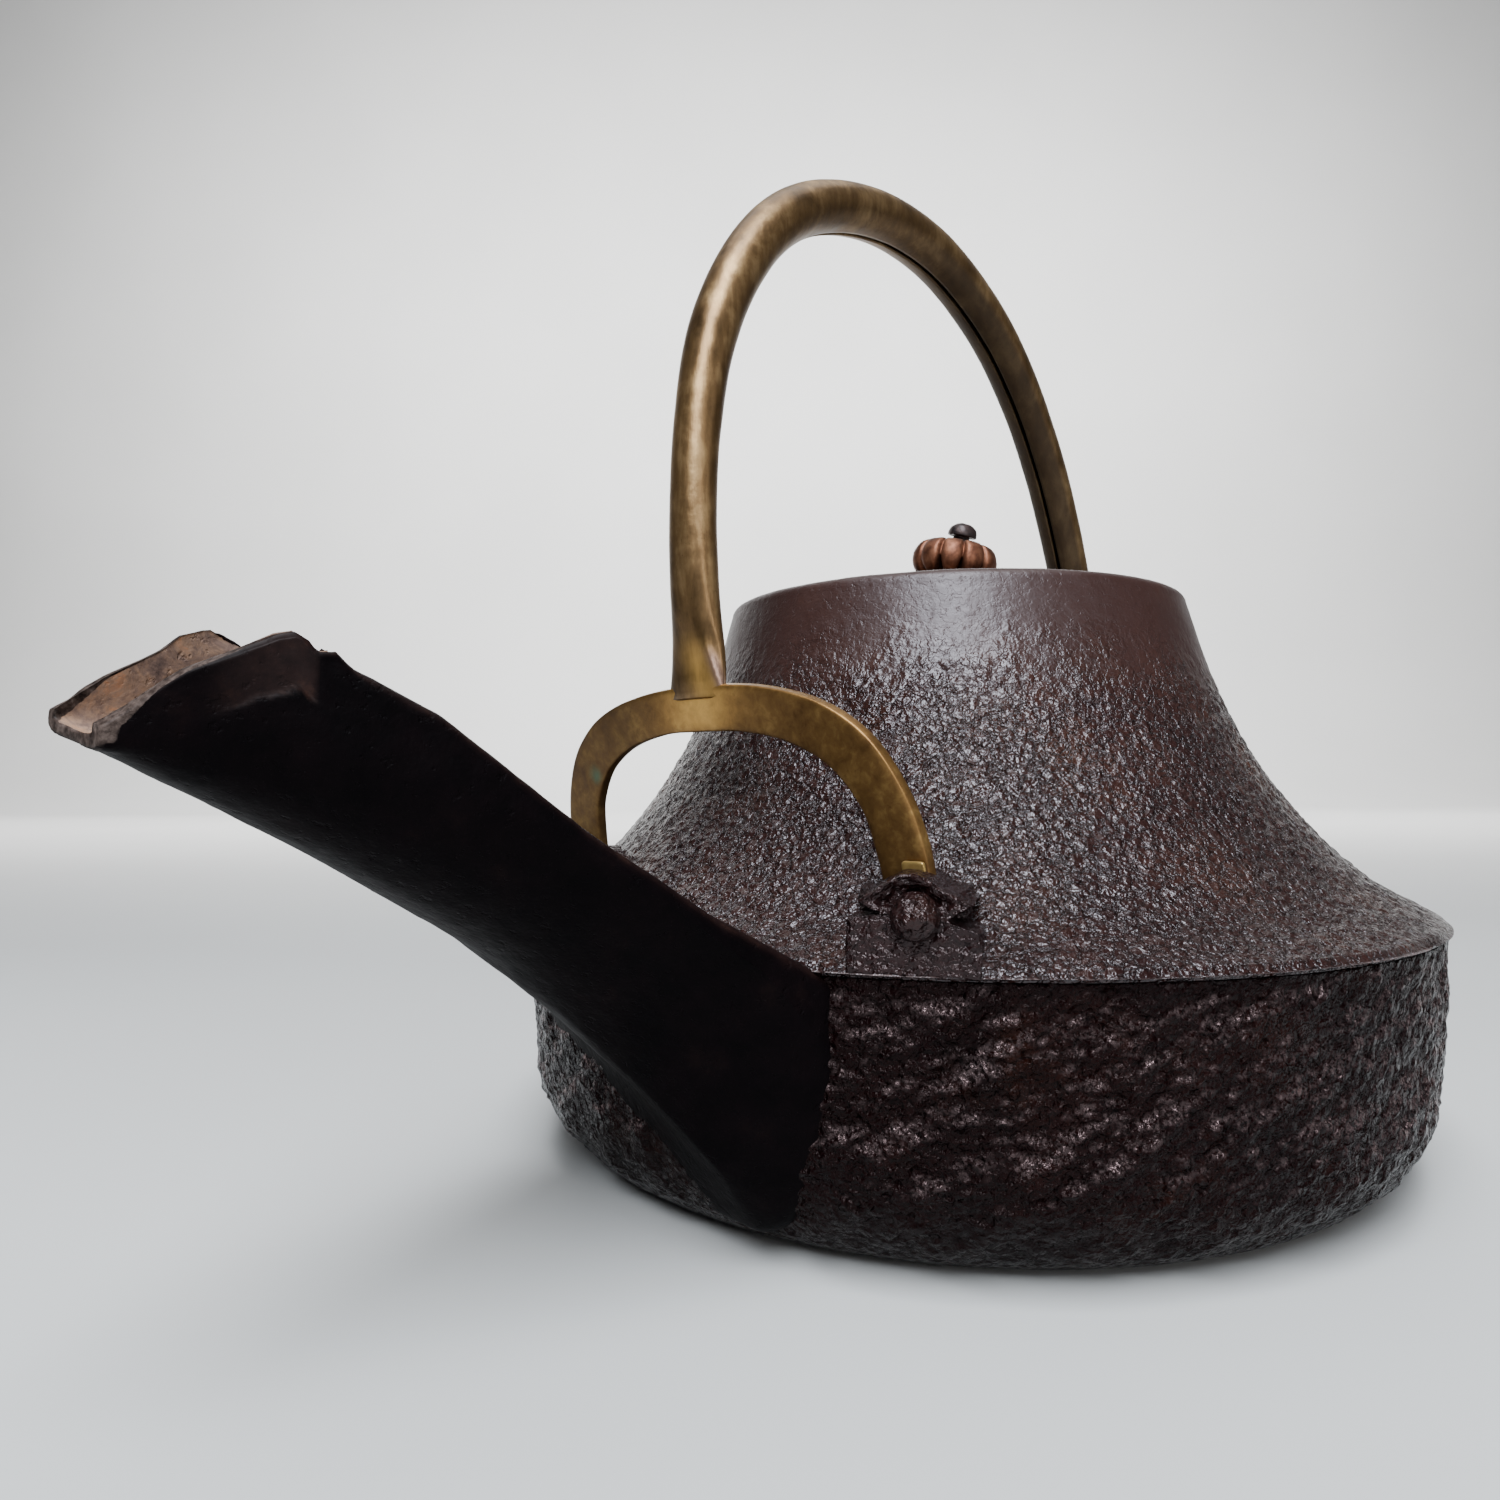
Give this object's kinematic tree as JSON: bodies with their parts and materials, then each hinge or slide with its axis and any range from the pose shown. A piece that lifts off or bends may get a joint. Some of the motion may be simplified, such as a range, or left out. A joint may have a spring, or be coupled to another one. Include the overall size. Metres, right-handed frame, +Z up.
{
  "type": "cast iron kettle",
  "caption": "Mountain-shaped cast iron kettle with a sharp shoulder rim, a long open-tipped spout, a three-legged brass handle and a lift-off lid with a petalled knob.",
  "frame": {"origin": "centre of the flat base, on the surface that the kettle stands on", "axes": "+Z up along the body's axis, -X towards the spout, the handle and the spout symmetric about the XZ plane"},
  "size_m": [0.2724, 0.19, 0.199],
  "materials": {
    "iron": "pebbled casting under an old reddish-brown lacquer, glossy on its high spots",
    "spout_iron": "smooth near-black casting with brown edges",
    "brass": "satin brass with olive-brown patina and streaks",
    "bright_brass": "clean brass",
    "lid_bronze": "dark brown patinated bronze, satin",
    "copper": "reddish-brown copper alloy, rubbed satin",
    "nail_iron": "forged, dark and smooth"
  },
  "bodies": {
    "kettle": {"body_drum": "iron", "body_shoulder": "iron", "spout": "spout_iron", "lug_front_left": "iron", "lug_front_right": "iron", "lug_rear": "iron", "lug_pin_front_left": "iron", "lug_pin_front_right": "iron", "lug_pin_rear": "iron", "fork_wedge_left": "bright_brass", "fork_wedge_right": "bright_brass", "handle_fork": "brass", "handle_tube": "brass"},
    "lid": {"lid_plate": "lid_bronze", "lid_ring": "lid_bronze", "knob_washer": "copper", "lid_knob": "copper", "knob_nail": "nail_iron", "clench_washer": "copper"}
  },
  "joints": [
    {"name": "lid_lift", "type": "slide", "parent": "kettle", "child": "lid", "axis": [0, 0, 1], "range_m": [0, 0.014]}
  ]
}
